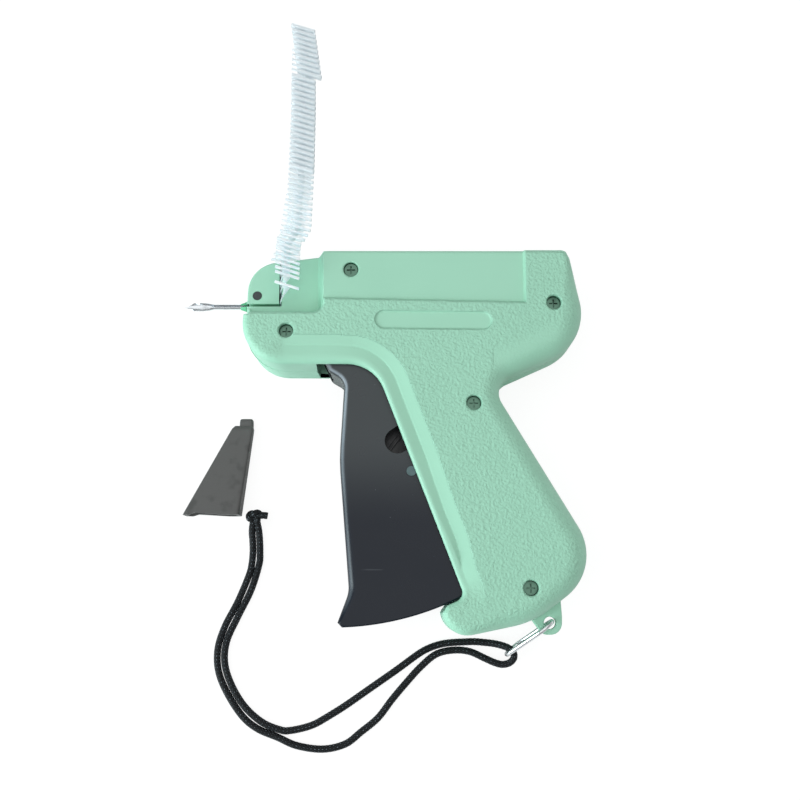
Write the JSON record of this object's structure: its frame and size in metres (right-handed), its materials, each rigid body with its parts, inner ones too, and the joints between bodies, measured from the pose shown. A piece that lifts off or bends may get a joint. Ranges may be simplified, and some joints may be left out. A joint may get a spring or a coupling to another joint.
{
  "type": "tagging gun",
  "caption": "Hand-held tag attaching gun with a squeeze trigger, hollow steel needle, fastener clip in its feed slot, and a needle guard on a cord.",
  "frame": {"origin": "on the trigger pivot's axis, at the flat rear face that the gun lies on", "axes": "+X from the needle end to the tail, +Y from the grip to the top edge along the fastener clip, +Z out of the front face"},
  "size_m": [0.136, 0.2472, 0.0294],
  "materials": {
    "mint_plastic": "fine leather grain, satin bands",
    "black_plastic": "smooth semi-gloss",
    "screw_steel": "darkened, in deep wells",
    "pin_steel": "ground",
    "lever_steel": "stamped",
    "spring_steel": "drawn wire",
    "needle_steel": "polished",
    "clear_nylon": "translucent, frosted",
    "ring_steel": "bright wire",
    "cord_black": "braided",
    "guard_plastic": "matt black, moulded"
  },
  "bodies": {
    "gun_body": {"rear_shell": "mint_plastic", "front_shell": "mint_plastic", "housing_screws": "screw_steel", "trigger_pivot_pin": "pin_steel", "lever_post": "black_plastic", "return_spring": "spring_steel", "feed_axle": "pin_steel", "pawl_pin": "pin_steel", "pawl_spring": "spring_steel", "needle": "needle_steel", "needle_base": "mint_plastic", "strap_ring": "ring_steel", "tether_cord": "cord_black", "cord_knot": "cord_black", "needle_guard": "guard_plastic"},
    "trigger_body": {"trigger": "black_plastic", "drive_pin": "pin_steel"},
    "lever_body": {"actuating_lever": "lever_steel"},
    "slide_body": {"slide": "black_plastic", "slide_pin": "pin_steel", "ejector_rod": "pin_steel", "rod_clamp_screw": "screw_steel", "loaded_pin": "clear_nylon"},
    "feed_wheel_body": {"feed_wheel": "black_plastic"},
    "clip_body": {"fastener_clip": "clear_nylon"},
    "pawl_body": {"feed_pawl": "lever_steel"},
    "lock_body": {"needle_lock": "black_plastic"}
  },
  "joints": [
    {"name": "trigger_squeeze", "type": "hinge", "parent": "gun_body", "child": "trigger_body", "pos_m": [0, 0, 0.013], "axis": [0, 0, 1], "range_deg": [0, 18], "stiffness_Nm_per_rad": 1.2, "springref_deg": -14.32, "deforming": ["return_spring"]},
    {"name": "lever_turn", "type": "hinge", "parent": "gun_body", "child": "lever_body", "pos_m": [0.0308, -0.02441, 0.013], "axis": [0, 0, 1], "range_deg": [0, 49.43]},
    {"name": "ejector_slide", "type": "slide", "parent": "gun_body", "child": "slide_body", "axis": [-1, 0, 0], "range_m": [0, 0.036]},
    {"name": "feed_wheel_turn", "type": "hinge", "parent": "gun_body", "child": "feed_wheel_body", "pos_m": [-0.0194, 0.02142, 0.00842], "axis": [1, 0, 0], "range_deg": [0, 25.71]},
    {"name": "clip_feed", "type": "slide", "parent": "gun_body", "child": "clip_body", "axis": [0, -1, 0], "range_m": [0, 0.00192]},
    {"name": "pawl_lift", "type": "hinge", "parent": "gun_body", "child": "pawl_body", "pos_m": [-0.0157, 0.01238, 0.00499], "axis": [1, 0, 0], "range_deg": [-6, 0], "stiffness_Nm_per_rad": 0.002, "springref_deg": 5.73, "deforming": ["pawl_spring"]},
    {"name": "needle_lock_turn", "type": "hinge", "parent": "gun_body", "child": "lock_body", "pos_m": [-0.0273, 0.01725, 0.01], "axis": [0, 0, 1], "range_deg": [0, 90]}
  ],
  "couplings": [
    {"joint": "lever_turn", "follows": "trigger_squeeze", "ratio": 2.7459},
    {"joint": "ejector_slide", "follows": "trigger_squeeze", "m_per_rad": 0.11459},
    {"joint": "feed_wheel_turn", "follows": "clip_feed", "rad_per_m": 233.75}
  ]
}
